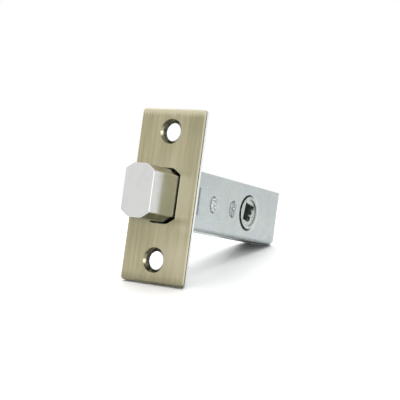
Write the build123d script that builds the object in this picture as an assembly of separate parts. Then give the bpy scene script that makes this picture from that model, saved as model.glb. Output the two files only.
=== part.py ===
from build123d import *
import os
from math import cos, radians, sin, tan

# Tubular privacy bolt for an interior door, drawn with the bolt thrown.
# Millimetres and degrees. The origin is the middle of the faceplate's front face.
# X runs across the door's edge, Y into the door, Z up. The spindle turns about X.

# Hub and crank
backset = 45.0
spindle_square = 6.15
crank_radius = 8.3
crank_tip_radius = 1.2
crank_neck_width = 1.5
crank_thickness = 4.0
crank_half_turn = 54.6
hub_barrel_diameter = 9.7
hub_shoulder_diameter = 14.0
hub_journal_diameter = 12.0
hub_proud = 0.4
hub_face_chamfer = 0.35
hub_recess_diameter = 9.4
hub_recess_depth = 0.4
detent_depth = 0.8

# Bolt
bolt_width = 11.0
bolt_height = 17.2
bolt_corner_width = 3.0
bolt_corner_height = 2.0
bolt_flank_softening = 0.5
bolt_crown_softening = 2.5
nose_bevel = 0.2
nose_proud = 0.5
collar_step = 0.4
collar_length = 3.0
tail_width = 7.0
rail_finger_length = 3.4

# Plates
plate_width = 24.5
plate_thickness = 1.2
plate_corner_radius = 1.2
plate_edge_round = 0.8
forend_thickness = 1.0
screw_hole_diameter = 6.0
screw_end_distance = 7.5

# Folded case
sheet_thickness = 1.0
bend_inner_radius = 0.4
ear_height = 6.2
ear_width = 9.0
ear_corner_radius = 1.5
ear_screw_gap = 0.8
lid_tab_length = 2.5
lid_tab_hub_offset = 3.7
lid_tab_post_offset = 6.0
stop_tab_setback = 6.6
stop_tab_length = 3.0
stop_tab_height = 9.0
hub_hole_rollover = 0.4

# Guide posts, rivets and spring
post_diameter = 5.2
post_tenon_diameter = 4.0
post_swage_diameter = 6.2
post_swage_dish = 0.25
post_pitch = 13.0
rivet_diameter = 3.0
rivet_flare_diameter = 4.6
rivet_head_diameter = 4.4
rivet_head_height = 0.9
leaf_thickness = 0.4
leaf_bend_radius = 1.5
leaf_reach = 3.5
leaf_foot_length = 5.4
anchor_pin_diameter = 1.6

# Clearances and gaps
bolt_slide_clearance = 0.2
collar_clearance = 0.1
guide_clearance = 0.15
plate_opening_gap = 0.5
journal_clearance = 0.05
hub_end_float = 0.1
barrel_clearance = 0.2
groove_clearance = 0.4
crank_window_clearance = 0.12
crank_side_clearance = 0.2
post_slot_clearance = 0.1
stop_gap = 0.1
tail_hub_gap = 0.6
post_hub_gap = 1.4
anchor_rail_gap = 4.8
anchor_wall_gap = 2.6
fit_clearance = 0.03
leaf_clearance = 0.05
seam_gap = 0.1
bend_relief = 0.4

# Motion of the crank and the bolt
half_turn = radians(crank_half_turn)
throw = 2 * crank_radius * sin(half_turn)
throw_rate = throw / (2 * half_turn)
bolt_projection = throw + nose_proud

# Case section
case_inner_width = bolt_width + 2 * (collar_step + collar_clearance)
case_width = case_inner_width + 2 * sheet_thickness
case_inner_height = bolt_height + 2 * bolt_slide_clearance
case_height = case_inner_height + 2 * sheet_thickness
bend_outer_radius = bend_inner_radius + sheet_thickness

# Heights on the plates, with the screw holes sunk through the faceplate at 45 degrees
countersink_diameter = screw_hole_diameter + 2 * plate_thickness
rivet_height = (case_height + ear_height) / 2
ear_end = case_height / 2 + ear_height
screw_height = ear_end + ear_screw_gap + countersink_diameter / 2
plate_height = 2 * (screw_height + screw_end_distance)

# Stations along the case
forend_back = plate_thickness + forend_thickness
ear_back = forend_back + sheet_thickness
stop_tab_start = forend_back + stop_tab_setback
stop_tab_end = stop_tab_start + stop_tab_length
collar_front = stop_tab_end + stop_gap
collar_back = collar_front + collar_length
rear_post_y = backset - hub_shoulder_diameter / 2 - post_hub_gap - post_diameter / 2
front_post_y = rear_post_y - post_pitch
slot_front = front_post_y - throw - post_diameter / 2 - stop_gap
tail_end = backset - hub_barrel_diameter / 2 - tail_hub_gap - throw
rail_top = hub_barrel_diameter / 2 + barrel_clearance
rail_bottom = bolt_height / 2 - fit_clearance
crank_tip_y = backset - crank_radius * sin(half_turn)


def crank_reach(turn):
    # How far the crank's tip or neck reaches from the middle of the rail's window
    lead = crank_radius * sin(turn) - throw_rate * turn
    neck_rise = max(crank_radius * cos(turn) - rail_top, 0)
    neck_reach = neck_rise * tan(turn) + crank_neck_width / 2 / cos(turn) - lead
    return max(crank_tip_radius + lead, neck_reach)


turn_steps = 24
window_reach = max(crank_reach(half_turn * step / turn_steps) for step in range(turn_steps + 1))
window_half_length = window_reach + crank_window_clearance
window_width = crank_thickness + 2 * crank_side_clearance
rail_end = crank_tip_y + window_half_length + rail_finger_length
anchor_pin_y = rail_end + throw + anchor_rail_gap + anchor_pin_diameter / 2
leaf_foot_top = leaf_clearance + leaf_thickness - case_inner_height / 2
anchor_pin_z = leaf_foot_top + leaf_clearance + anchor_pin_diameter / 2
case_depth = anchor_pin_y + anchor_pin_diameter / 2 + anchor_wall_gap + sheet_thickness

# Stations across the case
shoulder_start = tail_width / 2 + groove_clearance
shoulder_end = case_inner_width / 2 - hub_end_float
hub_face = case_width / 2 + hub_proud
detent_flat = hub_shoulder_diameter / 2 - detent_depth
past = case_depth


def along_x(profile, start, end):
    return extrude(Plane.YZ.offset(start) * profile, end - start)


def along_y(profile, start, end):
    return extrude(Plane.XZ.offset(-start) * profile, start - end)


def along_z(profile, start, end):
    return extrude(Plane.XY.offset(start) * profile, end - start)


def span(low, high):
    # Rectangle from its lower left corner to its upper right corner
    return Pos((low[0] + high[0]) / 2, (low[1] + high[1]) / 2) * Rectangle(high[0] - low[0], high[1] - low[1])


def soften(profile, points, radius):
    # Rounds the profile's corners that lie at the given points
    corners = [min(profile.vertices(), key=lambda v: (v.X - x) ** 2 + (v.Y - y) ** 2) for x, y in points]
    return fillet(corners, radius)


def bolt_outline(margin):
    # The bolt's section with its four corners cut and softened, grown by a margin
    half_width = bolt_width / 2 + margin
    half_height = bolt_height / 2 + margin
    flat_width = half_width - bolt_corner_width
    flat_height = half_height - bolt_corner_height
    quarter = [(half_width, flat_height), (flat_width, half_height)]
    top = quarter + [(-x, z) for x, z in reversed(quarter)]
    bottom = [(x, -z) for x, z in reversed(top)]
    outline = make_face(Polyline(*top, *bottom, close=True))
    signs = [(1, 1), (1, -1), (-1, 1), (-1, -1)]
    outline = soften(outline, [(a * flat_width, b * half_height) for a, b in signs], bolt_crown_softening)
    return soften(outline, [(a * half_width, b * flat_height) for a, b in signs], bolt_flank_softening)


def screw_cut(side):
    profile = make_face(Polyline(
        (0, 0),
        (countersink_diameter / 2, 0),
        (screw_hole_diameter / 2, plate_thickness),
        (screw_hole_diameter / 2, past),
        (0, past),
        close=True,
    ))
    return Pos(0, 0, side * screw_height) * revolve(profile, Axis.Y)


def plate_blank(front, back):
    return along_y(RectangleRounded(plate_width, plate_height, plate_corner_radius), front, back)


def make_faceplate():
    plate = plate_blank(0, plate_thickness)
    rim = plate.faces().sort_by(Axis.Y)[0].edges()
    plate = fillet(rim, plate_edge_round)
    plate -= along_y(bolt_outline(plate_opening_gap), -past, past)
    for side in (1, -1):
        plate -= screw_cut(side)
    return plate


def rivet_profile(clearance, head):
    # Half section of a forend rivet, with its flare in the inner forend
    flare_depth = (rivet_flare_diameter - rivet_diameter) / 2
    shank = rivet_diameter / 2 + clearance
    flare = rivet_flare_diameter / 2 + clearance
    end = ear_back + rivet_head_height
    points = [
        (0, plate_thickness),
        (flare, plate_thickness),
        (shank, plate_thickness + flare_depth),
    ]
    if head:
        crown = rivet_head_diameter / 2 - rivet_head_height / 2
        points += [(shank, ear_back), (rivet_head_diameter / 2, ear_back), (crown, end), (0, end)]
    else:
        points += [(shank, end), (0, end)]
    return make_face(Polyline(*points, close=True))


def make_forend_rivet(side):
    return Pos(0, 0, side * rivet_height) * revolve(rivet_profile(0, True), Axis.Y)


def rivet_cut(side):
    return Pos(0, 0, side * rivet_height) * revolve(rivet_profile(fit_clearance, False), Axis.Y)


def make_inner_forend():
    plate = plate_blank(plate_thickness, forend_back)
    plate -= along_y(bolt_outline(guide_clearance), -past, past)
    for side in (1, -1):
        plate -= screw_cut(side)
        plate -= rivet_cut(side)
    return plate


def ear(side):
    # The front end of a wall, bent outwards against the inner forend and drilled for its rivet
    wall_inside = side * case_inner_height / 2
    wall_outside = side * case_height / 2
    run_end = forend_back + bend_outer_radius
    section = make_face(Polyline(
        (run_end, wall_inside),
        (forend_back, wall_inside),
        (forend_back, side * ear_end),
        (ear_back, side * ear_end),
        (ear_back, wall_outside),
        (run_end, wall_outside),
        close=True,
    ))
    section = soften(section, [(forend_back, wall_inside)], bend_outer_radius - fit_clearance)
    section = soften(section, [(ear_back, wall_outside)], bend_inner_radius - fit_clearance)
    bent = along_x(section, -ear_width / 2, ear_width / 2)
    tips = bent.edges().filter_by(Axis.Y).group_by(Axis.Z)[-1 if side > 0 else 0]
    bent = fillet(tips, ear_corner_radius)
    return bent - rivet_cut(side)


def make_guide_post(station):
    # Half of the post is turned, from its barrel to its swaged and dished end, and mirrored
    shoulder = case_inner_width / 2 - fit_clearance
    mid_wall = (case_inner_width + sheet_thickness) / 2
    face = case_width / 2
    dish = face - post_swage_dish
    barrel = post_diameter / 2
    tenon = post_tenon_diameter / 2
    swage = post_swage_diameter / 2
    rim = swage - post_swage_dish
    flank = [(0, 0), (0, barrel), (shoulder, barrel), (shoulder, tenon), (mid_wall, tenon), (face, swage)]
    end = [(face, rim), (dish, rim - post_swage_dish), (dish, 0)]
    half = revolve(make_face(Polyline(*flank, *end, close=True)), Axis.X)
    return Pos(0, station, 0) * (half + mirror(half, Plane.YZ))


def post_cut(station):
    tenon = post_tenon_diameter / 2 + fit_clearance
    swage = post_swage_diameter / 2 + fit_clearance
    mid_wall = (case_inner_width + sheet_thickness) / 2
    face = case_width / 2
    profile = make_face(Polyline((0, 0), (0, tenon), (mid_wall, tenon), (face, swage), (face, 0), close=True))
    half = revolve(profile, Axis.X)
    return Pos(0, station, 0) * (half + mirror(half, Plane.YZ))


def hub_hole_cut():
    bore = hub_journal_diameter / 2 + journal_clearance
    face = case_width / 2
    profile = make_face(Polyline(
        (0, 0),
        (0, bore),
        (face - hub_hole_rollover, bore),
        (face, bore + hub_hole_rollover),
        (face, 0),
        close=True,
    ))
    half = revolve(profile, Axis.X)
    return Pos(0, backset, 0) * (half + mirror(half, Plane.YZ))


def lid_tab_stations():
    return (front_post_y - lid_tab_post_offset, backset - lid_tab_hub_offset)


def make_case_body():
    half_width = case_width / 2
    half_inner = case_inner_width / 2
    half_height = case_height / 2
    floor = case_inner_height / 2
    wrap_start = case_depth - bend_outer_radius - bend_relief

    # Channel: the bottom and two sides
    corners = [(-half_width, -half_height), (half_width, -half_height)]
    outside = soften(span((-half_width, -half_height), (half_width, half_height)), corners, bend_outer_radius)
    hollow = span((-half_inner, -floor), (half_inner, past))
    hollow = soften(hollow, [(-half_inner, -floor), (half_inner, -floor)], bend_inner_radius)
    body = along_y(outside - hollow, forend_back, wrap_start)

    # Rear: the sides turn in as two flaps, and the bottom runs on below them
    rear_corners = [(-half_width, case_depth), (half_width, case_depth)]
    wrap = soften(span((-half_width, wrap_start), (half_width, case_depth)), rear_corners, bend_outer_radius)
    well_end = case_depth - sheet_thickness
    well = span((-half_inner, 0), (half_inner, well_end))
    well = soften(well, [(-half_inner, well_end), (half_inner, well_end)], bend_inner_radius)
    seam = span((-seam_gap / 2, 0), (seam_gap / 2, past))
    body += along_z(wrap - well - seam, bend_outer_radius - half_height, half_height)
    tongue_half = half_width - bend_outer_radius
    body += along_y(span((-tongue_half, -half_height), (tongue_half, -floor)), wrap_start, case_depth)

    # Front: the bottom turns down as an ear
    relief_half = ear_width / 2 + bend_relief
    body -= along_y(span((-relief_half, -past), (relief_half, -floor)), 0, forend_back + bend_outer_radius)
    body += ear(-1)

    # Stop tabs lanced inwards, which the bolt's collar meets when thrown
    tab_half = stop_tab_height / 2
    tab_inside = bolt_width / 2 + guide_clearance
    lance = span((stop_tab_start, -tab_half), (stop_tab_end + fit_clearance, tab_half))
    body -= along_x(lance, -past, past)
    for side in (1, -1):
        tab = make_face(Polyline(
            (side * half_inner, stop_tab_start),
            (side * half_width, stop_tab_start),
            (side * (tab_inside + sheet_thickness), stop_tab_end),
            (side * tab_inside, stop_tab_end),
            close=True,
        ))
        body += along_z(tab, fit_clearance - tab_half, tab_half - fit_clearance)

    # Holes for the hub, the posts, the pin and the crank's tip, and notches for the lid's tabs
    body -= hub_hole_cut()
    for station in (front_post_y, rear_post_y):
        body -= post_cut(station)
    pin_hole = Circle(anchor_pin_diameter / 2 + fit_clearance)
    body -= along_x(Pos(anchor_pin_y, anchor_pin_z) * pin_hole, -past, past)
    crank_sweep = 2 * (crank_radius * sin(half_turn / 2) + crank_tip_radius)
    crank_slot = Pos(0, backset) * RectangleRounded(window_width, crank_sweep, crank_tip_radius)
    body -= along_z(crank_slot, -past, -floor + sheet_thickness / 2)
    notch_half = lid_tab_length / 2 + fit_clearance
    for station in lid_tab_stations():
        notch = span((station - notch_half, floor), (station + notch_half, past))
        body -= along_x(notch, -past, past)
    return body


def make_case_lid():
    lid_half = case_inner_width / 2 - fit_clearance
    underside = case_inner_height / 2
    topside = case_height / 2
    strip_start = forend_back + bend_outer_radius
    strip_end = case_depth - sheet_thickness - fit_clearance
    strip = span((-lid_half, strip_start), (lid_half, strip_end))
    strip = soften(strip, [(-lid_half, strip_end), (lid_half, strip_end)], bend_inner_radius)
    lid = along_z(strip, underside, topside)
    lid += ear(1)
    tab_half = lid_tab_length / 2
    for station in lid_tab_stations():
        tab = span((-case_width / 2, station - tab_half), (case_width / 2, station + tab_half))
        lid += along_z(tab, underside + fit_clearance, topside)
    return lid


def make_bolt():
    # Head, with a small bevel round the nose, and the collar behind it
    head = along_y(bolt_outline(0), -bolt_projection, collar_back)
    head = chamfer(head.faces().sort_by(Axis.Y)[0].edges(), nose_bevel)
    collar_half = bolt_width / 2 + collar_step
    collar_top = bolt_height / 2 - bolt_corner_height
    head += along_y(span((-collar_half, -collar_top), (collar_half, collar_top)), collar_front, collar_back)

    # Tail and lower rail
    tail_half = tail_width / 2
    tail = along_y(span((-tail_half, -rail_bottom), (tail_half, rail_bottom)), collar_back, tail_end)
    rail = along_y(span((-tail_half, -rail_bottom), (tail_half, -rail_top)), tail_end, rail_end)
    rail_tip = rail.edges().filter_by(Axis.X).group_by(Axis.Y)[-1].sort_by(Axis.Z)[-1]
    rail = chamfer(rail_tip, crank_tip_radius)
    bolt = head + tail + rail

    # Slot for the guide posts, and the window that the crank's tip works in
    slot_half = post_diameter / 2 + post_slot_clearance
    slot = span((slot_front + slot_half, -slot_half), (tail_end + stop_gap, slot_half))
    slot += Pos(slot_front + slot_half, 0) * Circle(slot_half)
    bolt -= along_x(slot, -past, past)
    window = span(
        (-window_width / 2, crank_tip_y - window_half_length),
        (window_width / 2, crank_tip_y + window_half_length),
    )
    bolt -= along_z(window, -past, 0)
    return bolt


def make_hub():
    # Drawn with the crank pointing down, which is the middle of its turn
    barrel = along_x(Circle(hub_barrel_diameter / 2), -shoulder_start, shoulder_start)
    shoulder = Circle(hub_shoulder_diameter / 2)
    for lean in (90 - crank_half_turn, 90 + crank_half_turn):
        chord = Pos(detent_flat + hub_shoulder_diameter / 2, 0) * Rectangle(hub_shoulder_diameter, past)
        shoulder -= Rot(0, 0, lean) * chord
    journal = Circle(hub_journal_diameter / 2)
    hub = barrel
    for side in (1, -1):
        hub += along_x(shoulder, side * shoulder_start, side * shoulder_end)
        stub = along_x(journal, side * shoulder_end, side * hub_face)
        rim = stub.edges().filter_by(GeomType.CIRCLE).sort_by(Axis.X)[-1 if side > 0 else 0]
        hub += chamfer(rim, hub_face_chamfer)
        recess = Circle(hub_recess_diameter / 2)
        hub -= along_x(recess, side * (hub_face - hub_recess_depth), side * past)

    # Crank with a round tip, and the square socket
    neck_half = crank_neck_width / 2
    crank = span((-neck_half, -crank_radius), (neck_half, 0))
    crank += Pos(0, -crank_radius) * Circle(crank_tip_radius)
    hub += along_x(crank, -crank_thickness / 2, crank_thickness / 2)
    socket = Rot(0, 0, 45) * Rectangle(spindle_square, spindle_square)
    hub -= along_x(socket, -past, past)
    return Pos(0, backset, 0) * Rot(-crank_half_turn, 0, 0) * hub


def make_detent_spring():
    # One strip bent to a C: a leg on the hub's flats, a back, and a foot held under the pin
    low = leaf_clearance - case_inner_height / 2
    high = detent_flat + leaf_clearance + leaf_thickness
    back = case_depth - sheet_thickness - leaf_clearance
    front = backset - leaf_reach
    outer = soften(span((0, low), (back, high)), [(back, low), (back, high)], leaf_bend_radius)
    inner_back = back - leaf_thickness
    inner_low = low + leaf_thickness
    inner_high = high - leaf_thickness
    inner = span((-past, inner_low), (inner_back, inner_high))
    inner_corners = [(inner_back, inner_low), (inner_back, inner_high)]
    inner = soften(inner, inner_corners, leaf_bend_radius - leaf_thickness)
    strip = outer - inner - span((-past, low - past), (front, high + past))
    strip -= span((0, low - past), (back - leaf_foot_length, leaf_foot_top + leaf_thickness))
    leaf_half = shoulder_end - hub_end_float
    return along_x(strip, -leaf_half, leaf_half)


def make_anchor_pin():
    pin = along_x(Circle(anchor_pin_diameter / 2), -case_width / 2, case_width / 2)
    return Pos(0, anchor_pin_y, anchor_pin_z) * pin


nodes = {
    "faceplate": make_faceplate(),
    "inner_forend": make_inner_forend(),
    "case_body": make_case_body(),
    "case_lid": make_case_lid(),
    "forend_rivet_upper": make_forend_rivet(1),
    "forend_rivet_lower": make_forend_rivet(-1),
    "bolt": make_bolt(),
    "hub": make_hub(),
    "front_guide_post": make_guide_post(front_post_y),
    "rear_guide_post": make_guide_post(rear_post_y),
    "detent_spring": make_detent_spring(),
    "spring_anchor_pin": make_anchor_pin(),
}

os.makedirs("parts", exist_ok=True)
for name, shape in nodes.items():
    export_step(shape, f"parts/{name}.step")

print("throw", round(throw, 3), "projection", round(bolt_projection, 3))
print("plate height", round(plate_height, 2), "case depth", round(case_depth, 2))
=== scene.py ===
import bpy
import bmesh
from math import radians
from mathutils import Matrix, Vector


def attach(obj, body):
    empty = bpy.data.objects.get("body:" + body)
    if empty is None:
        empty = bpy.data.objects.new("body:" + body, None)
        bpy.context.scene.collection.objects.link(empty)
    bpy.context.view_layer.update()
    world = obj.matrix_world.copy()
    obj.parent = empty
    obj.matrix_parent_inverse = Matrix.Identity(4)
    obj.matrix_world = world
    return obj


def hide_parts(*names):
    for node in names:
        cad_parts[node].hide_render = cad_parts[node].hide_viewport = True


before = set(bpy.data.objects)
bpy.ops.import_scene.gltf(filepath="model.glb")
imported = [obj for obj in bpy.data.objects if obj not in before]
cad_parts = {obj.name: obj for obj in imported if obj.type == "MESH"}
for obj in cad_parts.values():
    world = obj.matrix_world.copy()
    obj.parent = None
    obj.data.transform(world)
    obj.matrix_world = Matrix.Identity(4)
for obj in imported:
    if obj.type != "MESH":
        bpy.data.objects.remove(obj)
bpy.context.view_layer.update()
scene = bpy.context.scene
scene.view_settings.view_transform = "Standard"
print("frame loaded:", len(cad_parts), "nodes")

# camera, fitted to the photograph's lines
photoCamera = {
    "place": (0.190088, -0.277767, -0.020774),
    "right": (0.84219, 0.52252, 0.13301),
    "up": (-0.07977, -0.12322, 0.98917),
    "back": (0.53324, -0.84368, -0.06209),
    "lens": 94.063,
}


def addCamera(setup):
    camera = bpy.data.objects.new("photoCamera", bpy.data.cameras.new("photoCamera"))
    scene.collection.objects.link(camera)
    camera.data.lens = setup["lens"]
    turn = Matrix((setup["right"], setup["up"], setup["back"])).transposed()
    camera.matrix_world = Matrix.Translation(setup["place"]) @ turn.to_4x4()
    scene.camera = camera
    print("camera placed")


addCamera(photoCamera)


# node helpers

def addNode(tree, kind, **settings):
    node = tree.nodes.new(kind)
    for key, value in settings.items():
        setattr(node, key, value)
    return node


def feed(tree, source, target):
    tree.links.new(source, target)


def setOrFeed(tree, value, socket):
    if isinstance(value, (int, float)):
        socket.default_value = value
    elif isinstance(value, tuple):
        socket.default_value = (*value, 1)  # a plain colour
    else:
        feed(tree, value, socket)


def mathNode(tree, operation, first, second=None):
    node = addNode(tree, "ShaderNodeMath", operation=operation)
    setOrFeed(tree, first, node.inputs[0])
    if second is not None:
        setOrFeed(tree, second, node.inputs[1])
    return node.outputs[0]


def product(tree, first, *others):
    for other in others:
        first = mathNode(tree, "MULTIPLY", first, other)
    return first


def away(tree, value):
    return mathNode(tree, "ABSOLUTE", value)


def rangeNode(tree, value, fromLow, fromHigh, toLow, toHigh):
    node = addNode(tree, "ShaderNodeMapRange", interpolation_type="SMOOTHSTEP")
    feed(tree, value, node.inputs["Value"])
    numbers = {"From Min": fromLow, "From Max": fromHigh, "To Min": toLow, "To Max": toHigh}
    for name, number in numbers.items():
        node.inputs[name].default_value = number
    return node.outputs["Result"]


def rise(tree, value, start, end, amount=1.0):
    return rangeNode(tree, value, start, end, 0.0, amount)


def fall(tree, value, start, end, amount=1.0):
    return rangeNode(tree, value, start, end, amount, 0.0)


def blendColours(tree, amount, first, second):
    node = addNode(tree, "ShaderNodeMix", data_type="RGBA")
    for number, value in ((0, amount), (6, first), (7, second)):
        setOrFeed(tree, value, node.inputs[number])
    return node.outputs[2]


def noiseNode(tree, vector, scale, detail, roughness=0.55, distortion=0.0):
    node = addNode(tree, "ShaderNodeTexNoise")
    feed(tree, vector, node.inputs["Vector"])
    setOrFeed(tree, scale, node.inputs["Scale"])
    node.inputs["Detail"].default_value = detail
    node.inputs["Roughness"].default_value = roughness
    node.inputs["Distortion"].default_value = distortion
    return node.outputs["Fac"]


def combineNode(tree, *parts):
    node = addNode(tree, "ShaderNodeCombineXYZ")
    for socket, value in zip(node.inputs, parts):
        setOrFeed(tree, value, socket)
    return node.outputs[0]


def splitPlace(tree, place):
    split = addNode(tree, "ShaderNodeSeparateXYZ")
    feed(tree, place, split.inputs[0])
    return split.outputs[0], split.outputs[1], split.outputs[2]


def radiusFrom(tree, first, second, firstCentre, secondCentre):
    across = mathNode(tree, "SUBTRACT", first, firstCentre)
    along = mathNode(tree, "SUBTRACT", second, secondCentre)
    squares = [mathNode(tree, "MULTIPLY", part, part) for part in (across, along)]
    return mathNode(tree, "SQRT", mathNode(tree, "ADD", *squares))


# finishes that more than one metal shares

vectorSocket = "NodeSocketVector"
numberSocket = "NodeSocketFloat"


def newGroup(name, inputs, outputs):
    group = bpy.data.node_groups.new(name, "ShaderNodeTree")
    for label, kind, value in inputs:
        socket = group.interface.new_socket(label, in_out="INPUT", socket_type=kind)
        if value is not None:
            socket.default_value = value
    for label, kind in outputs:
        group.interface.new_socket(label, in_out="OUTPUT", socket_type=kind)
    return group, addNode(group, "NodeGroupInput"), addNode(group, "NodeGroupOutput")


def useGroup(tree, group, place, **values):
    node = addNode(tree, "ShaderNodeGroup", node_tree=group)
    feed(tree, place, node.inputs["Place"])
    for label, value in values.items():
        setOrFeed(tree, value, node.inputs[label])
    return node


def makeBrushGrain():
    # long fine scratches along Z: narrow across, stretched along
    group, inside, outside = newGroup(
        "brushGrain",
        [("Place", vectorSocket, None), ("Width", numberSocket, 0.00016), ("Length", numberSocket, 0.009)],
        [("Fine", numberSocket), ("Broad", numberSocket)],
    )
    for label, widen, lengthen, detail in (("Fine", 1.0, 1.0, 4.0), ("Broad", 7.0, 4.0, 2.0)):
        across = mathNode(group, "DIVIDE", 1 / widen, inside.outputs["Width"])
        along = mathNode(group, "DIVIDE", 1 / lengthen, inside.outputs["Length"])
        scaled = addNode(group, "ShaderNodeVectorMath", operation="MULTIPLY")
        feed(group, inside.outputs["Place"], scaled.inputs[0])
        feed(group, combineNode(group, across, across, along), scaled.inputs[1])
        streak = noiseNode(group, scaled.outputs[0], 1.0, detail)
        feed(group, rise(group, streak, 0.28, 0.72), outside.inputs[label])
    return group


def makePlatingCloud():
    # cloudy patches and small specks of an electroplated skin
    group, inside, outside = newGroup(
        "platingCloud",
        [("Place", vectorSocket, None), ("Patch", numberSocket, 0.004), ("Speck", numberSocket, 0.0003)],
        [("Cloud", numberSocket), ("Tint", numberSocket), ("Specks", numberSocket)],
    )
    patchScale = mathNode(group, "DIVIDE", 1.0, inside.outputs["Patch"])
    speckScale = mathNode(group, "DIVIDE", 1.0, inside.outputs["Speck"])
    cloud = noiseNode(group, inside.outputs["Place"], patchScale, 4.0, 0.6, 0.6)
    feed(group, rise(group, cloud, 0.3, 0.7), outside.inputs["Cloud"])
    shifted = addNode(group, "ShaderNodeVectorMath", operation="ADD")
    feed(group, inside.outputs["Place"], shifted.inputs[0])
    shifted.inputs[1].default_value = (0.31, 0.17, 0.23)  # so that the tint doesn't follow the cloud
    tint = noiseNode(group, shifted.outputs[0], patchScale, 2.0, 0.5, 0.3)
    feed(group, rise(group, tint, 0.35, 0.65), outside.inputs["Tint"])
    speck = noiseNode(group, inside.outputs["Place"], speckScale, 3.0, 0.65)
    feed(group, rise(group, speck, 0.35, 0.7), outside.inputs["Specks"])
    return group


def makeHandlingHaze():
    # faint smears left by fingers and packing
    group, inside, outside = newGroup(
        "handlingHaze",
        [("Place", vectorSocket, None), ("Size", numberSocket, 0.006)],
        [("Haze", numberSocket)],
    )
    scale = mathNode(group, "DIVIDE", 1.0, inside.outputs["Size"])
    smear = noiseNode(group, inside.outputs["Place"], scale, 5.0, 0.62, 1.4)
    feed(group, rise(group, smear, 0.35, 0.72), outside.inputs["Haze"])
    return group


def makeEdgeRub():
    # bright rubbed metal along the eased edges, broken up by noise
    group, inside, outside = newGroup(
        "edgeRub",
        [("Place", vectorSocket, None), ("Edge", numberSocket, 0.0), ("Breakup", numberSocket, 0.0008)],
        [("Rub", numberSocket)],
    )
    scale = mathNode(group, "DIVIDE", 1.0, inside.outputs["Breakup"])
    gaps = noiseNode(group, inside.outputs["Place"], scale, 3.0)
    wearAndHighlight = rangeNode(group, gaps, 0.3, 0.6, 0.25, 1.0)
    feed(group, product(group, inside.outputs["Edge"], wearAndHighlight), outside.inputs["Rub"])
    return group


def makeRecessDarkening():
    # patchy darkening: patina that stays where brushing and rubbing don't reach on the brass, and painted shade in
    # gaps, holes, recesses and on lower faces of the other metals
    group, inside, outside = newGroup(
        "recessDarkening",
        [("Place", vectorSocket, None), ("Recess", numberSocket, 0.0), ("Breakup", numberSocket, 0.0006)],
        [("Darkened", numberSocket)],
    )
    scale = mathNode(group, "DIVIDE", 1.0, inside.outputs["Breakup"])
    blot = noiseNode(group, inside.outputs["Place"], scale, 3.0)
    patchy = rangeNode(group, blot, 0.25, 0.6, 0.72, 1.0)
    feed(group, product(group, inside.outputs["Recess"], patchy), outside.inputs["Darkened"])
    return group


brushGrain = makeBrushGrain()
platingCloud = makePlatingCloud()
handlingHaze = makeHandlingHaze()
edgeRub = makeEdgeRub()
recessDarkening = makeRecessDarkening()
print("shared finishes made")


# the metals. Bands in their values are: start, end and, where given, the amount

def newFinish(name):
    material = bpy.data.materials.new(name)
    material.use_nodes = True
    tree = material.node_tree
    shader = tree.nodes["Principled BSDF"]
    shader.inputs["Metallic"].default_value = 1.0
    place = addNode(tree, "ShaderNodeTexCoord").outputs["Object"]
    return material, tree, shader, place


def markedBy(tree, name):
    return addNode(tree, "ShaderNodeAttribute", attribute_name=name).outputs["Fac"]


def addBump(tree, shader, height, distance, strength):
    bump = addNode(tree, "ShaderNodeBump")
    bump.inputs["Distance"].default_value = distance
    bump.inputs["Strength"].default_value = strength
    feed(tree, height, bump.inputs["Height"])
    feed(tree, bump.outputs["Normal"], shader.inputs["Normal"])


brassLook = {
    "pale": (0.640, 0.585, 0.388),
    "deep": (0.384, 0.354, 0.210),
    "clouded": (0.486, 0.450, 0.282),
    "rubbedAndSheen": (0.74, 0.69, 0.51),
    "patina": (0.060, 0.056, 0.030),
    "paintedSheen": (0.75, 0.692, 0.51),
    "topHighlight": (0.83, 0.765, 0.57),
    "paintedHighlight": (0.92, 0.88, 0.70),
    "footShade": (0.235, 0.215, 0.128),
    "streakWidth": 0.00026,
    "streakLength": 0.011,
    "streakShares": {"Fine": 0.55, "Broad": 0.45},
    "streakPull": 0.0012,  # how far the streaks draw out a mark
    "hazeSize": 0.012,
    "hazeAmount": 0.35,
    "rubBreakup": 0.0012,
    "rubAmount": 0.3,
    "patches": [
        # across, along, reach, tone, amount
        (-0.007, -0.0125, 0.009, "footShade", 0.25),
        (0.008, -0.019, 0.010, "paintedSheen", 0.48),
        (0.002, 0.009, 0.008, "paintedSheen", 0.22),
        (0.0105, 0.001, 0.010, "paintedSheen", 0.25),
        (0.0095, -0.0088, 0.0042, "paintedSheen", 0.45),
        (0.009, 0.024, 0.007, "footShade", 0.22),
    ],
    "topBand": (0.0257, 0.0279, 0.9),
    "footBand": (-0.0249, -0.0281, 0.6),
    "besideWide": (0.0086, 0.0128, 0.46),
    "besideTall": (0.0060, 0.0081),
    "lipWide": (0.0061, 0.0064, 0.5),
    "lipTall": (0.0065, 0.0075),
    "rim": (0.01190, 0.01210, 0.5),
    "screwHeight": 0.021,
    "sinkEdge": (0.00395, 0.00425),
    "sinkPatina": (0.0006, 0.0022, 0.22, 1.0),  # less patina at mid height
    "glintDrop": 0.0006,
    "glintTall": (0.0003, 0.0010, 0.85),
    "glintSide": (-0.0036, -0.0032),
    "rawEdge": (0.00062, 0.00082),
    "darkeningBreakup": 0.0007,
    "rough": (0.44, 0.54),
    "sinkGloss": 0.30,
    "spread": 1.0,
    "lacquer": 0.35,
    "lacquerRough": 0.05,
    "bump": (0.00002, 0.35),
}


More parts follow.
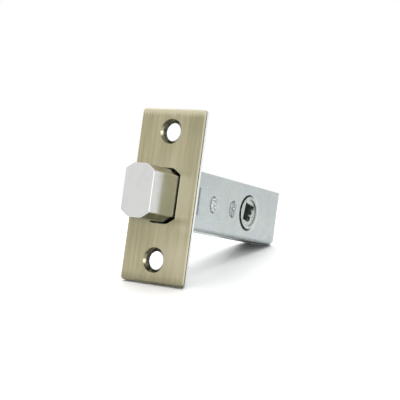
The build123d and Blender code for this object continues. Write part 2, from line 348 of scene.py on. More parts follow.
def makeBrushedBrass(look):
    material, tree, shader, place = newFinish("brushedBrass")
    grain = useGroup(tree, brushGrain, place, Width=look["streakWidth"], Length=look["streakLength"])
    haze = useGroup(tree, handlingHaze, place, Size=look["hazeSize"])
    rub = useGroup(tree, edgeRub, place, Edge=markedBy(tree, "edgeMask"), Breakup=look["rubBreakup"])
    shares = [product(tree, grain.outputs[label], share) for label, share in look["streakShares"].items()]
    colour = blendColours(tree, mathNode(tree, "ADD", *shares), look["deep"], look["pale"])
    cloud = rise(tree, haze.outputs["Haze"], 0.0, 1.0, look["hazeAmount"])
    colour = blendColours(tree, cloud, colour, look["clouded"])
    colour = blendColours(tree, product(tree, rub.outputs["Rub"], look["rubAmount"]), colour, look["rubbedAndSheen"])
    x, y, z = splitPlace(tree, place)
    wide, tall = away(tree, x), away(tree, z)
    # painted patches: lighter ones stand for reflections on the plate, darker ones for shade
    for across, along, reach, tone, amount in look["patches"]:
        patch = fall(tree, radiusFrom(tree, x, z, across, along), 0.0, reach, amount)
        colour = blendColours(tree, patch, colour, look[tone])
    # painted highlight along the top edge and painted shade towards the foot, both drawn out by the streaks
    pull = product(tree, mathNode(tree, "SUBTRACT", grain.outputs["Fine"], 0.5), look["streakPull"])
    drawn = mathNode(tree, "ADD", z, pull)
    colour = blendColours(tree, rise(tree, drawn, *look["topBand"]), colour, look["topHighlight"])
    colour = blendColours(tree, rise(tree, drawn, *look["footBand"]), colour, look["footShade"])
    # painted reflection of the bolt beside it, and painted highlights along the long sides of its opening and of
    # the plate
    beside = product(
        tree, fall(tree, wide, *look["besideWide"]), fall(tree, away(tree, drawn), *look["besideTall"]),
    )
    colour = blendColours(tree, beside, colour, look["paintedSheen"])
    lip = product(tree, fall(tree, wide, *look["lipWide"]), fall(tree, tall, *look["lipTall"]))
    rim = rise(tree, wide, *look["rim"])
    colour = blendColours(tree, mathNode(tree, "MAXIMUM", lip, rim), colour, look["paintedHighlight"])
    # patina left in the screw sinks and on the raw edge behind the rounded rim, and a glint at each sink's left
    sink = fall(tree, radiusFrom(tree, x, tall, 0.0, look["screwHeight"]), *look["sinkEdge"])
    lowered = away(tree, mathNode(tree, "ADD", z, look["glintDrop"]))
    offGlint = away(tree, mathNode(tree, "SUBTRACT", lowered, look["screwHeight"]))
    glint = product(tree, sink, fall(tree, offGlint, *look["glintTall"]), fall(tree, x, *look["glintSide"]))
    offMiddle = away(tree, mathNode(tree, "SUBTRACT", tall, look["screwHeight"]))
    sink = product(tree, sink, rangeNode(tree, offMiddle, *look["sinkPatina"]))
    recess = mathNode(tree, "MAXIMUM", sink, rise(tree, y, *look["rawEdge"]))
    darkening = useGroup(tree, recessDarkening, place, Recess=recess, Breakup=look["darkeningBreakup"])
    colour = blendColours(tree, darkening.outputs["Darkened"], colour, look["patina"])
    colour = blendColours(tree, glint, colour, look["paintedHighlight"])
    feed(tree, colour, shader.inputs["Base Color"])
    rough = rangeNode(tree, grain.outputs["Fine"], 0.0, 1.0, *look["rough"])
    smooth = product(tree, mathNode(tree, "MAXIMUM", sink, glint), look["sinkGloss"])
    feed(tree, mathNode(tree, "SUBTRACT", rough, smooth), shader.inputs["Roughness"])
    shader.inputs["Anisotropic"].default_value = look["spread"]  # the brushing spreads reflections sideways
    shader.inputs["Coat Weight"].default_value = look["lacquer"]
    shader.inputs["Coat Roughness"].default_value = look["lacquerRough"]
    shader.inputs["Coat IOR"].default_value = 1.5
    addBump(tree, shader, grain.outputs["Fine"], *look["bump"])
    return material


zincLook = {
    "blue": (0.522, 0.563, 0.583),
    "green": (0.529, 0.589, 0.566),
    "dull": (0.478, 0.516, 0.516),
    "fleck": (0.68, 0.71, 0.71),
    "rubbedAndSheen": (0.70, 0.73, 0.73),
    "sheared": (0.95, 0.95, 0.92),
    "darkening": (0.012, 0.012, 0.008),
    "underShadeTone": (0.110, 0.117, 0.112),
    "patch": 0.011,
    "speck": 0.00035,
    "dullAmount": 0.7,
    "fleckBand": (0.55, 1.0, 0.06),
    "hazeSize": 0.009,
    "rubBreakup": 0.0009,
    "shearedWide": (0.01205, 0.01215, 0.8),
    "shearedTall": (0.0283, 0.0284, 0.24),
    "hubAxis": (0.045, 0.0),
    "ringInner": (0.00615, 0.00635, 0.7),
    "ringOuter": (0.0067, 0.0073),
    "ringRear": (0.046, 0.049),
    "openingWide": (0.0063, 0.0065),
    "openingTall": (0.0094, 0.0096),
    "screwHeight": 0.021,
    "holeEdge": (0.0031, 0.0032),
    "forendDepth": (0.0028, 0.0030),
    "darkeningBreakup": 0.0006,
    "underShadeBelow": (-0.00975, -0.00960, 0.85),
    "underShadeFront": (0.043, 0.057),
    "underShadeRear": (0.062, 0.066),
    "rough": (0.25, 0.40),
    "speckRelief": 0.06,
    "bump": (0.00005, 0.04),
}


def makeZincSheet(look):
    material, tree, shader, place = newFinish("zincSheet")
    plating = useGroup(tree, platingCloud, place, Patch=look["patch"], Speck=look["speck"])
    haze = useGroup(tree, handlingHaze, place, Size=look["hazeSize"])
    rub = useGroup(tree, edgeRub, place, Edge=markedBy(tree, "edgeMask"), Breakup=look["rubBreakup"])
    colour = blendColours(tree, plating.outputs["Tint"], look["blue"], look["green"])
    dulling = rise(tree, plating.outputs["Cloud"], 0.0, 1.0, look["dullAmount"])
    colour = blendColours(tree, dulling, colour, look["dull"])
    colour = blendColours(tree, rise(tree, plating.outputs["Specks"], *look["fleckBand"]), colour, look["fleck"])
    colour = blendColours(tree, rub.outputs["Rub"], colour, look["rubbedAndSheen"])
    x, y, z = splitPlace(tree, place)
    wide, tall = away(tree, x), away(tree, z)
    # bright cut metal on the forend's edge
    cut = mathNode(tree, "MAXIMUM", rise(tree, wide, *look["shearedWide"]), rise(tree, tall, *look["shearedTall"]))
    colour = blendColours(tree, cut, colour, look["sheared"])
    # painted highlight: a lighter ring beside the hub, on its rear side
    fromHub = radiusFrom(tree, y, z, *look["hubAxis"])
    ring = product(
        tree,
        rise(tree, fromHub, *look["ringInner"]),
        fall(tree, fromHub, *look["ringOuter"]),
        rise(tree, y, *look["ringRear"]),
    )
    colour = blendColours(tree, ring, colour, look["rubbedAndSheen"])
    # painted shade: dark inside the bolt's opening and the screw holes
    inOpening = product(tree, fall(tree, wide, *look["openingWide"]), fall(tree, tall, *look["openingTall"]))
    inHole = fall(tree, radiusFrom(tree, x, tall, 0.0, look["screwHeight"]), *look["holeEdge"])
    inside = mathNode(tree, "MAXIMUM", inOpening, inHole)
    recess = product(tree, inside, fall(tree, y, *look["forendDepth"]))
    darkening = useGroup(tree, recessDarkening, place, Recess=recess, Breakup=look["darkeningBreakup"])
    colour = blendColours(tree, darkening.outputs["Darkened"], colour, look["darkening"])
    # painted shade: the underside of the case is darker towards its rear end and doesn't shine there
    underShade = product(
        tree,
        fall(tree, z, *look["underShadeBelow"]),
        rise(tree, y, *look["underShadeFront"]),
        fall(tree, y, *look["underShadeRear"]),
    )
    colour = blendColours(tree, underShade, colour, look["underShadeTone"])
    feed(tree, mathNode(tree, "SUBTRACT", 1.0, underShade), shader.inputs["Metallic"])
    shader.inputs["Specular IOR Level"].default_value = 0.0  # only the painted shade on the underside heeds it, not the metal
    feed(tree, colour, shader.inputs["Base Color"])
    feed(tree, rangeNode(tree, haze.outputs["Haze"], 0.0, 1.0, *look["rough"]), shader.inputs["Roughness"])
    relief = product(tree, plating.outputs["Specks"], look["speckRelief"])
    addBump(tree, shader, mathNode(tree, "ADD", plating.outputs["Cloud"], relief), *look["bump"])
    return material


nickelLook = {
    "bright": (0.680, 0.680, 0.672),
    "hazed": (0.640, 0.640, 0.630),
    "rubbedAndSheen": (0.69, 0.69, 0.68),
    "mirroredPlate": (0.62, 0.635, 0.585),
    "underside": (0.160, 0.175, 0.124),
    "wearAndHighlight": (0.95, 0.95, 0.90),
    "bevelShade": (0.50, 0.50, 0.48),
    "hazeSize": 0.007,
    "hazeAmount": 0.6,
    "grainWidth": 0.00025,
    "grainLength": 0.02,
    "rubBreakup": 0.0015,
    "mirrorStart": (-0.0128, -0.0070),
    "crown": (0.00665, 0.00685, 0.45),
    "lineLower": (0.00625, 0.00635, 0.8),
    "lineUpper": (0.00655, 0.00665),
    "bevelFront": (-0.01402, -0.01398),
    "bevelTall": (0.00585, 0.00625),
    "noseEdge": (-0.0137, -0.0135),
    "lowerEdge": (-0.0069, -0.0066),
    "lowShadeBreakup": 0.002,
    "rough": (0.16, 0.22),
    "bump": (0.000004, 0.15),
}


def makePolishedNickel(look):
    material, tree, shader, place = newFinish("polishedNickel")
    haze = useGroup(tree, handlingHaze, place, Size=look["hazeSize"])
    grain = useGroup(tree, brushGrain, place, Width=look["grainWidth"], Length=look["grainLength"])
    rub = useGroup(tree, edgeRub, place, Edge=markedBy(tree, "edgeMask"), Breakup=look["rubBreakup"])
    smears = rise(tree, haze.outputs["Haze"], 0.0, 1.0, look["hazeAmount"])
    colour = blendColours(tree, smears, look["bright"], look["hazed"])
    colour = blendColours(tree, rub.outputs["Rub"], colour, look["rubbedAndSheen"])
    # painted reflection: behind the nose the sides take a darker tone that stands for the plate mirrored in them,
    # and the crown a painted shade
    y, z = splitPlace(tree, place)[1:]
    back = rise(tree, y, *look["mirrorStart"])
    colour = blendColours(tree, back, colour, look["mirroredPlate"])
    colour = blendColours(tree, product(tree, back, rise(tree, z, *look["crown"])), colour, look["underside"])
    # a painted highlight: a bright line below the crown
    line = product(tree, back, rise(tree, z, *look["lineLower"]), fall(tree, z, *look["lineUpper"]))
    colour = blendColours(tree, line, colour, look["wearAndHighlight"])
    # painted shade: the nose's bevel is darker along the crown
    bevel = product(
        tree,
        rise(tree, y, *look["bevelFront"]),
        fall(tree, y, *look["noseEdge"]),
        rise(tree, z, *look["bevelTall"]),
    )
    colour = blendColours(tree, bevel, colour, look["bevelShade"])
    # painted shade on the lower corners and the underside
    lowerFaces = product(tree, fall(tree, z, *look["lowerEdge"]), rise(tree, y, *look["noseEdge"]))
    lowShade = useGroup(tree, recessDarkening, place, Recess=lowerFaces, Breakup=look["lowShadeBreakup"])
    colour = blendColours(tree, lowShade.outputs["Darkened"], colour, look["underside"])
    feed(tree, colour, shader.inputs["Base Color"])
    feed(tree, rangeNode(tree, haze.outputs["Haze"], 0.0, 1.0, *look["rough"]), shader.inputs["Roughness"])
    addBump(tree, shader, grain.outputs["Fine"], *look["bump"])
    return material


castingLook = {
    "light": (0.57, 0.615, 0.590),
    "dull": (0.44, 0.485, 0.462),
    "rubbedAndSheen": (0.68, 0.71, 0.69),
    "tornAndLit": (0.80, 0.83, 0.79),
    "shadeTone": (0.006, 0.008, 0.006),
    "bore": (0.105, 0.155, 0.118),
    "patch": 0.0025,
    "speck": 0.00022,
    "rubBreakup": 0.0006,
    "axis": (0.045, 0.0),
    "journal": (0.0056, 0.0058),
    "dishInner": (0.00455, 0.00465),
    "dishOuter": (0.00474, 0.00484),
    "dishShade": (0.0, 0.0025, 0.2, 0.6),  # most of it in the upper half
    "darkeningBreakup": 0.0009,
    "boreEdge": (0.0045, 0.0046),
    "boreMouth": (0.00685, 0.00695),
    "tornScale": 900.0,
    "tornPull": 0.0060,
    "tornWall": (0.0468, 0.0472),
    "tornDepth": (0.0059, 0.0061),
    "tornTall": (0.0010, 0.0016),
    "tornLean": 36000.0,
    "rough": (0.26, 0.44),
    "cloudRelief": 0.8,
    "bump": (0.00005, 0.35),
}


def makePlatedCasting(look):
    material, tree, shader, place = newFinish("platedCasting")
    plating = useGroup(tree, platingCloud, place, Patch=look["patch"], Speck=look["speck"])
    rub = useGroup(tree, edgeRub, place, Edge=markedBy(tree, "edgeMask"), Breakup=look["rubBreakup"])
    colour = blendColours(tree, plating.outputs["Cloud"], look["dull"], look["light"])
    colour = blendColours(tree, rub.outputs["Rub"], colour, look["rubbedAndSheen"])
    x, y, z = splitPlace(tree, place)
    depth = away(tree, x)
    fromAxis = radiusFrom(tree, y, z, *look["axis"])
    # painted shade: a blackened journal, and darker in the corner of the dished face
    corner = product(
        tree,
        rise(tree, fromAxis, *look["dishInner"]),
        fall(tree, fromAxis, *look["dishOuter"]),
        rangeNode(tree, z, *look["dishShade"]),
    )
    recess = mathNode(tree, "MAXIMUM", rise(tree, fromAxis, *look["journal"]), corner)
    shaded = useGroup(tree, recessDarkening, place, Recess=recess, Breakup=look["darkeningBreakup"])
    colour = blendColours(tree, shaded.outputs["Darkened"], colour, look["shadeTone"])
    # painted shade in the dark broached socket, and along the mouth of its rear wall bright torn metal with a
    # painted highlight
    inBore = product(tree, fall(tree, fromAxis, *look["boreEdge"]), fall(tree, depth, *look["boreMouth"]))
    torn = mathNode(tree, "SUBTRACT", noiseNode(tree, place, look["tornScale"], 1.0), 0.5)
    ragged = product(tree, torn, look["tornPull"])
    tornAndLit = product(
        tree,
        rise(tree, y, *look["tornWall"]),
        rise(tree, mathNode(tree, "ADD", depth, ragged), *look["tornDepth"]),
        fall(tree, mathNode(tree, "ADD", z, ragged), *look["tornTall"]),
    )
    dark = product(tree, inBore, mathNode(tree, "SUBTRACT", 1.0, tornAndLit))
    colour = blendColours(tree, dark, colour, look["bore"])
    chips = product(tree, inBore, tornAndLit)
    colour = blendColours(tree, chips, colour, look["tornAndLit"])
    feed(tree, mathNode(tree, "SUBTRACT", 1.0, dark), shader.inputs["Metallic"])
    feed(tree, colour, shader.inputs["Base Color"])
    feed(tree, rangeNode(tree, plating.outputs["Specks"], 0.0, 1.0, *look["rough"]), shader.inputs["Roughness"])
    relief = product(tree, plating.outputs["Cloud"], look["cloudRelief"])
    height = mathNode(tree, "ADD", plating.outputs["Specks"], relief)
    # the torn metal leans towards the mouth
    height = mathNode(tree, "SUBTRACT", height, product(tree, depth, look["tornLean"], chips))
    addBump(tree, shader, height, *look["bump"])
    return material


swagedLook = {
    "plain": (0.527, 0.572, 0.572),
    "dull": (0.484, 0.526, 0.526),
    "bright": (0.86, 0.89, 0.88),
    "torn": (0.19, 0.21, 0.205),
    "gap": (0.035, 0.045, 0.042),
    "patch": 0.0016,
    "speck": 0.00055,
    "tornBand": (0.15, 0.6),
    "rearDarker": (0.027, 0.029, 0.20),
    "rubBreakup": 0.0005,
    "rubAmount": 0.4,
    "darkeningBreakup": 0.0005,
    "rough": (0.26, 0.42),
    "bump": (0.00008, 0.4),
}


def makeSwagedSteel(look):
    material, tree, shader, place = newFinish("swagedSteel")
    plating = useGroup(tree, platingCloud, place, Patch=look["patch"], Speck=look["speck"])
    rub = useGroup(tree, edgeRub, place, Edge=markedBy(tree, "edgeMask"), Breakup=look["rubBreakup"])
    colour = blendColours(tree, plating.outputs["Cloud"], look["dull"], look["plain"])
    # the rear post's ends take more of the dark speckle than the front one's
    rearward = rise(tree, splitPlace(tree, place)[1], *look["rearDarker"])
    whole = mathNode(tree, "SUBTRACT", plating.outputs["Specks"], rearward)
    # the speckle is rough peened metal, with painted highlight and shade standing for the lumps' slopes
    speckled = blendColours(tree, rise(tree, whole, *look["tornBand"]), look["torn"], look["bright"])
    colour = blendColours(tree, markedBy(tree, "swageMark"), colour, speckled)
    colour = blendColours(tree, product(tree, rub.outputs["Rub"], look["rubAmount"]), colour, look["bright"])
    # painted shade in the gap along each end's rim
    darkening = useGroup(tree, recessDarkening, place, Recess=markedBy(tree, "rimShade"), Breakup=look["darkeningBreakup"])
    colour = blendColours(tree, darkening.outputs["Darkened"], colour, look["gap"])
    feed(tree, colour, shader.inputs["Base Color"])
    feed(tree, rangeNode(tree, plating.outputs["Cloud"], 0.0, 1.0, *look["rough"]), shader.inputs["Roughness"])
    addBump(tree, shader, plating.outputs["Specks"], *look["bump"])
    return material


springLook = {
    "blued": (0.22, 0.25, 0.30),
    "straw": (0.36, 0.33, 0.27),
    "patch": 0.005,
    "speck": 0.0005,
    "grainWidth": 0.0002,
    "grainLength": 0.012,
    "rough": (0.25, 0.40),
    "bump": (0.00001, 0.3),
}


def makeSpringSteel(look):
    material, tree, shader, place = newFinish("springSteel")
    plating = useGroup(tree, platingCloud, place, Patch=look["patch"], Speck=look["speck"])
    grain = useGroup(tree, brushGrain, place, Width=look["grainWidth"], Length=look["grainLength"])
    colour = blendColours(tree, plating.outputs["Cloud"], look["blued"], look["straw"])
    feed(tree, colour, shader.inputs["Base Color"])
    feed(tree, rangeNode(tree, grain.outputs["Fine"], 0.0, 1.0, *look["rough"]), shader.inputs["Roughness"])
    addBump(tree, shader, grain.outputs["Fine"], *look["bump"])
    return material


finishes = {
    "brushed_brass": makeBrushedBrass(brassLook),
    "zinc_sheet": makeZincSheet(zincLook),
    "polished_nickel": makePolishedNickel(nickelLook),
    "plated_casting": makePlatedCasting(castingLook),
    "swaged_steel": makeSwagedSteel(swagedLook),
    "spring_steel": makeSpringSteel(springLook),
}
print("finishes made:", ", ".join(finishes))


# pieces cut from the CAD nodes, with their edges eased

def addPiece(name, mesh, body, slot, *nodes):
    piece = bpy.data.objects.new(name, mesh)
    scene.collection.objects.link(piece)
    mesh.materials.clear()
    mesh.materials.append(finishes[slot])
    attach(piece, body)
    if nodes:
        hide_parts(*nodes)
    print(name, len(mesh.polygons), "faces")


def bakeMesh(holder, name):
    # the evaluated object's mesh as a plain one, and the holder goes
    graph = bpy.context.evaluated_depsgraph_get()
    mesh = bpy.data.meshes.new_from_object(
        holder.evaluated_get(graph), preserve_all_data_layers=True, depsgraph=graph,
    )
    mesh.name = name
    old = holder.data
    bpy.data.objects.remove(holder)
    bpy.data.meshes.remove(old)
    return mesh


easing = {
    "merge": 1e-7,
    "flatAngle": 0.4,
    "edgeAngle": 30,
    "creaseAngle": 38,
    "segments": 2,
    "roundness": 0.6,
}
easedPieces = [
    # node, piece, body, finish, ease in metres
    ("faceplate", "brassFaceplate", "case", "brushed_brass", 0.00008),
    ("inner_forend", "innerForend", "case", "zinc_sheet", 0.00008),
    ("case_body", "caseChannel", "case", "zinc_sheet", 0.00006),
    ("case_lid", "caseLid", "case", "zinc_sheet", 0.00006),
    ("bolt", "throwBolt", "bolt", "polished_nickel", 0.00010),
    ("hub", "spindleHub", "hub", "plated_casting", 0.00008),
    ("front_guide_post", "frontPost", "case", "swaged_steel", 0.00005),
    ("rear_guide_post", "rearPost", "case", "swaged_steel", 0.00005),
    ("detent_spring", "detentLeaf", "case", "spring_steel", 0.00004),
    ("spring_anchor_pin", "anchorPin", "case", "swaged_steel", 0.00008),
]


def easeNode(node, name, body, slot, ease):
    # merges the node's triangles into faces, then eases the outward edges
    work = bmesh.new()
    work.from_mesh(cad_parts[node].data)
    bmesh.ops.remove_doubles(work, verts=work.verts, dist=easing["merge"])
    bmesh.ops.dissolve_limit(work, angle_limit=radians(easing["flatAngle"]), verts=work.verts, edges=work.edges)
    mask = work.faces.layers.float.new("edgeMask")
    sharp = []
    for edge in work.edges:
        if edge.is_manifold and edge.is_convex and edge.calc_face_angle() > radians(easing["edgeAngle"]):
            sharp.append(edge)
    eased = bmesh.ops.bevel(
        work, geom=sharp, offset=ease, offset_type="OFFSET", segments=easing["segments"],
        profile=easing["roundness"], affect="EDGES", clamp_overlap=True,
    )
    for face in eased["faces"]:
        face[mask] = 1.0
    for face in work.faces:
        face.smooth = True
    mesh = bpy.data.meshes.new(name)
    work.to_mesh(mesh)
    work.free()
    stale = mesh.attributes.get("custom_normal")
    if stale:
        mesh.attributes.remove(stale)
    mesh.set_sharp_from_angle(angle=radians(easing["creaseAngle"]))
    holder = bpy.data.objects.new(name + "Holder", mesh)
    scene.collection.objects.link(holder)
    weigh = holder.modifiers.new("weigh", "WEIGHTED_NORMAL")
    weigh.keep_sharp = True
    addPiece(name, bakeMesh(holder, name), body, slot, node)


for easedPiece in easedPieces:
    easeNode(*easedPiece)
print("eased pieces made")


# geometry nodes: the peened ends of the posts and the rivets behind the plates

def newTree(name, inputs):
    tree = bpy.data.node_groups.new(name, "GeometryNodeTree")
    tree.interface.new_socket("Geometry", in_out="INPUT", socket_type="NodeSocketGeometry")
    for label, value in inputs.items():
        socket = tree.interface.new_socket(label, in_out="INPUT", socket_type=numberSocket)
        socket.default_value = value
    tree.interface.new_socket("Geometry", in_out="OUTPUT", socket_type="NodeSocketGeometry")
    return tree, addNode(tree, "NodeGroupInput"), addNode(tree, "NodeGroupOutput")


def ballNode(tree, segments, rings):
    ball = addNode(tree, "GeometryNodeMeshUVSphere")
    ball.inputs["Segments"].default_value = segments
    ball.inputs["Rings"].default_value = rings
    ball.inputs["Radius"].default_value = 1.0
    return ball.outputs["Mesh"]


def stretchNode(tree, mesh, *sizes):
    stretch = addNode(tree, "GeometryNodeTransform")
    feed(tree, mesh, stretch.inputs["Geometry"])
    feed(tree, combineNode(tree, *sizes), stretch.inputs["Scale"])
    return stretch.outputs["Geometry"]


def storeNumber(tree, mesh, name, value):
    node = addNode(tree, "GeometryNodeStoreNamedAttribute", data_type="FLOAT", domain="POINT")
    node.inputs["Name"].default_value = name
    feed(tree, mesh, node.inputs["Geometry"])
    feed(tree, value, node.inputs["Value"])
    return node.outputs["Geometry"]


def roughen(tree, mesh, scale, depth):
    # pushes the surface in and out along its normals
    place = addNode(tree, "GeometryNodeInputPosition").outputs[0]
    lumps = noiseNode(tree, place, scale, 2.0)
    push = product(tree, mathNode(tree, "SUBTRACT", lumps, 0.5), depth)
    along = addNode(tree, "ShaderNodeVectorMath", operation="SCALE")
    feed(tree, addNode(tree, "GeometryNodeInputNormal").outputs[0], along.inputs[0])
    feed(tree, push, along.inputs["Scale"])
    move = addNode(tree, "GeometryNodeSetPosition")
    feed(tree, mesh, move.inputs["Geometry"])
    feed(tree, along.outputs[0], move.inputs["Offset"])
    return move.outputs["Geometry"]


def repeatOnPoints(tree, points, shape):
    spread = addNode(tree, "GeometryNodeInstanceOnPoints")
    feed(tree, points, spread.inputs["Points"])
    feed(tree, shape, spread.inputs["Instance"])
    real = addNode(tree, "GeometryNodeRealizeInstances")
    feed(tree, spread.outputs["Instances"], real.inputs["Geometry"])
    return real.outputs["Geometry"]


def closeTree(tree, mesh, outside, slot):
    smooth = addNode(tree, "GeometryNodeSetShadeSmooth")
    feed(tree, mesh, smooth.inputs["Geometry"])
    paint = addNode(tree, "GeometryNodeSetMaterial")
    paint.inputs["Material"].default_value = finishes[slot]
    feed(tree, smooth.outputs["Geometry"], paint.inputs["Geometry"])
    feed(tree, paint.outputs["Geometry"], outside.inputs["Geometry"])


def growPieces(name, tree, points, sizes, body, slot, *nodes):
    seedMesh = bpy.data.meshes.new(name + "Points")
    seedMesh.from_pydata(points, [], [])
    holder = bpy.data.objects.new(name + "Holder", seedMesh)
    modifier = holder.modifiers.new(name, "NODES")
    modifier.node_group = tree
    for item in tree.interface.items_tree:
        if item.in_out == "INPUT" and item.name in sizes:
            modifier[item.identifier] = sizes[item.name]
    scene.collection.objects.link(holder)
    addPiece(name, bakeMesh(holder, name), body, slot, *nodes)


swagedEnds = {
    "sizes": {"Width": 0.0017, "Height": 0.0034, "Proud": 0.00030, "Lumps": 0.00020},
    "places": [(side * 0.00686, y, 0.0) for side in (-1, 1) for y in (0.021, 0.034)],
    "lumpScale": 1800.0,
    # bands on the unit ball
    "rim": (0.48, 0.78),
    "plateSide": (-0.2, 0.6),
    "farUp": (0.5, 0.85, 0.06, 1.0),
    "mark": (0.80, 0.97),
}


def makeSwagedEnds(end):
    tree, inside, outside = newTree("swagedEnds", end["sizes"])
    side, height = splitPlace(tree, addNode(tree, "GeometryNodeInputPosition").outputs[0])[1:]
    # painted shade: a dark gap along the end's rim, most on the plate's side and at top and bottom
    fromMiddle = radiusFrom(tree, side, height, 0.0, 0.0)
    shade = product(
        tree,
        rise(tree, fromMiddle, *end["rim"]),
        fall(tree, side, *end["plateSide"]),
        rangeNode(tree, away(tree, height), *end["farUp"]),
    )
    marked = storeNumber(tree, ballNode(tree, 56, 32), "rimShade", shade)
    marked = storeNumber(tree, marked, "swageMark", fall(tree, fromMiddle, *end["mark"]))
    sizes = [inside.outputs[label] for label in ("Proud", "Width", "Height")]
    ends = repeatOnPoints(tree, inside.outputs["Geometry"], stretchNode(tree, marked, *sizes))
    ends = roughen(tree, ends, end["lumpScale"], inside.outputs["Lumps"])
    closeTree(tree, ends, outside, "swaged_steel")
    growPieces("swagedEnds", tree, end["places"], end["sizes"], "case", "swaged_steel")


makeSwagedEnds(swagedEnds)

rivetHeads = {
    "sizes": {
        "Head": 0.0022, "Rise": 0.0009, "Shank": 0.0015, "Flare": 0.0023, "Grip": 0.0020, "Lumps": 0.00010,
    },
    "places": [(0.0, 0.0032, side * 0.0129) for side in (-1, 1)],
    "lumpScale": 1500.0,
}


def makeRivetHeads(rivet):
    tree, inside, outside = newTree("rivetHeads", rivet["sizes"])
    # peened dome on the back, shank through both sheets, flare pressed flat at the front
    sizes = [inside.outputs[label] for label in ("Head", "Rise", "Head")]
    dome = stretchNode(tree, ballNode(tree, 40, 20), *sizes)
    flare = addNode(tree, "GeometryNodeMeshCone")
    flare.inputs["Vertices"].default_value = 40
    feed(tree, inside.outputs["Shank"], flare.inputs["Radius Top"])
    feed(tree, inside.outputs["Flare"], flare.inputs["Radius Bottom"])
    feed(tree, inside.outputs["Grip"], flare.inputs["Depth"])
    laid = addNode(tree, "GeometryNodeTransform")
    laid.inputs["Rotation"].default_value = (radians(-90), 0, 0)
    feed(tree, flare.outputs["Mesh"], laid.inputs["Geometry"])
    ahead = mathNode(tree, "MULTIPLY", inside.outputs["Grip"], -1.0)
    feed(tree, combineNode(tree, 0.0, ahead, 0.0), laid.inputs["Translation"])
    whole = addNode(tree, "GeometryNodeJoinGeometry")
    feed(tree, laid.outputs["Geometry"], whole.inputs[0])
    feed(tree, dome, whole.inputs[0])
    heads = repeatOnPoints(tree, inside.outputs["Geometry"], whole.outputs[0])
    heads = roughen(tree, heads, rivet["lumpScale"], inside.outputs["Lumps"])
    closeTree(tree, heads, outside, "swaged_steel")
    growPieces(
        "rivetHeads", tree, rivet["places"], rivet["sizes"], "case", "swaged_steel",
        "forend_rivet_upper", "forend_rivet_lower",
    )


makeRivetHeads(rivetHeads)
print("peened ends and rivets made")


# floor, light and surroundings

tableTop = {
    "normal": (0.0, -0.277, 0.961),
    "touch": (0.0, 0.0022, -0.0285),
    "reach": 3.0,
    "givenBack": (0.84, 0.84, 0.84),
    "inMetal": (1.0, 1.0, 1.0),
    "seen": (1.28, 1.28, 1.28),
    "shine": 0.10,
    "shineRough": 0.12,
    "middle": (0.0, 0.03, -0.02),
    "fade": (0.07, 0.16),
}


def mixShaders(tree, amount, first, second):
    node = addNode(tree, "ShaderNodeMixShader")
    setOrFeed(tree, amount, node.inputs[0])
    feed(tree, first.outputs[0], node.inputs[1])
    feed(tree, second.outputs[0], node.inputs[2])
    return node


def addFloor(table):
    normal = Vector(table["normal"]).normalized()
    side = Vector((1, 0, 0))
    ahead = normal.cross(side)
    touch = Vector(table["touch"])
    reach = table["reach"]
    corners = [touch + side * a * reach + ahead * b * reach for a, b in ((-1, -1), (1, -1), (1, 1), (-1, 1))]
    mesh = bpy.data.meshes.new("tableTop")
    mesh.from_pydata(corners, [], [(0, 1, 2, 3)])
    floor = bpy.data.objects.new("tableTop", mesh)
    scene.collection.objects.link(floor)
    if mesh.polygons[0].normal.dot(normal) < 0:
        mesh.flip_normals()
    material = bpy.data.materials.new("whiteTable")
    material.use_nodes = True
    tree = material.node_tree
    tree.nodes.clear()
    output = addNode(tree, "ShaderNodeOutputMaterial")
    # seen by the camera or in metal, the floor is whiter than the light it gives back
    path = addNode(tree, "ShaderNodeLightPath")
    straight = path.outputs["Is Camera Ray"]
    mirrored = mathNode(tree, "MAXIMUM", path.outputs["Is Glossy Ray"], path.outputs["Is Transmission Ray"])
    tone = blendColours(tree, mirrored, table["givenBack"], table["inMetal"])
    tone = blendColours(tree, straight, tone, table["seen"])
    matte = addNode(tree, "ShaderNodeBsdfDiffuse")
    feed(tree, tone, matte.inputs["Color"])
    shine = addNode(tree, "ShaderNodeBsdfGlossy")
    shine.inputs["Roughness"].default_value = table["shineRough"]
    topSide = mixShaders(tree, table["shine"], matte, shine)
    # plain white away from the object
    far = addNode(tree, "ShaderNodeVectorMath", operation="DISTANCE")
    feed(tree, addNode(tree, "ShaderNodeTexCoord").outputs["Object"], far.inputs[0])
    far.inputs[1].default_value = table["middle"]
    fade = rise(tree, far.outputs["Value"], *table["fade"])
    fade = product(tree, fade, mathNode(tree, "MAXIMUM", straight, mirrored))
    faded = mixShaders(tree, fade, topSide, addNode(tree, "ShaderNodeEmission"))
    # clear from below
    backing = addNode(tree, "ShaderNodeNewGeometry").outputs["Backfacing"]
    whole = mixShaders(tree, backing, faded, addNode(tree, "ShaderNodeBsdfTransparent"))
    feed(tree, whole.outputs[0], output.inputs["Surface"])
    mesh.materials.append(material)


addFloor(tableTop)

lightTent = {
    "softLevel": 0.56,
    "panels": [
        # direction, full inside this cosine, gone outside this one, change of level
        ((0.94, -0.34, 0.10), 0.93, 0.77, 0.30),
        ((-0.15, -0.25, 0.95), 0.95, 0.55, 0.45),
        ((-1.0, 0.10, 0.0), 0.97, 0.65, -0.15),
        ((0.533, -0.844, 0.10), 0.985, 0.90, 0.4),
    ],
}


def backgroundNode(tree):
    node = addNode(tree, "ShaderNodeBackground")
    node.inputs["Color"].default_value = (1, 1, 1, 1)
    return node


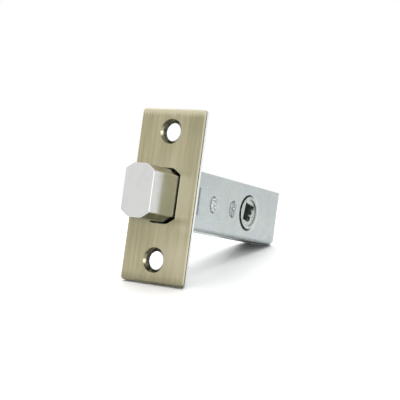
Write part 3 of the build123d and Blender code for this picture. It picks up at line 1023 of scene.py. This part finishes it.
def addWorld(tent):
    world = bpy.data.worlds.new("lightTent")
    world.use_nodes = True
    scene.world = world
    tree = world.node_tree
    tree.nodes.clear()
    output = addNode(tree, "ShaderNodeOutputWorld")
    path = addNode(tree, "ShaderNodeLightPath")
    direction = addNode(tree, "ShaderNodeTexCoord").outputs["Generated"]
    # in the metal the tent is brighter at the right, overhead and behind the camera, and dimmer at the far left
    level = 1.0
    for aim, inner, outer, change in tent["panels"]:
        facing = addNode(tree, "ShaderNodeVectorMath", operation="DOT_PRODUCT")
        feed(tree, direction, facing.inputs[0])
        facing.inputs[1].default_value = Vector(aim).normalized()
        level = mathNode(tree, "ADD", level, rise(tree, facing.outputs["Value"], outer, inner, change))
    mirror = backgroundNode(tree)
    feed(tree, level, mirror.inputs["Strength"])
    soft = backgroundNode(tree)
    soft.inputs["Strength"].default_value = tent["softLevel"]
    shown = mixShaders(tree, path.outputs["Is Glossy Ray"], soft, mirror)
    # plain white behind the object
    through = mathNode(tree, "MAXIMUM", path.outputs["Is Camera Ray"], path.outputs["Is Transmission Ray"])
    seen = mixShaders(tree, through, shown, backgroundNode(tree))
    feed(tree, seen.outputs[0], output.inputs["Surface"])


addWorld(lightTent)

lamps = {
    "topSoftbox": {
        "place": (-0.25, 0.08, 0.62), "aim": (0, 0.04, 0), "size": (1.4, 1.4), "power": 6.1, "mirrored": False,
    },
    "sideStrip": {
        "place": (0.52, -0.33, 0.05), "aim": (0, 0, 0), "size": (0.08, 0.24), "power": 0.03, "mirrored": True,
    },
}


def addLamp(name, setup):
    lamp = bpy.data.objects.new(name, bpy.data.lights.new(name, "AREA"))
    scene.collection.objects.link(lamp)
    lamp.data.shape = "ELLIPSE"
    lamp.data.size, lamp.data.size_y = setup["size"]
    lamp.visible_glossy = setup["mirrored"]
    lamp.data.energy = setup["power"]
    lamp.location = setup["place"]
    lamp.rotation_mode = "QUATERNION"
    lamp.rotation_quaternion = (Vector(setup["aim"]) - Vector(setup["place"])).to_track_quat("-Z", "Y")


for lampName, lampSetup in lamps.items():
    addLamp(lampName, lampSetup)
print("floor and light set")
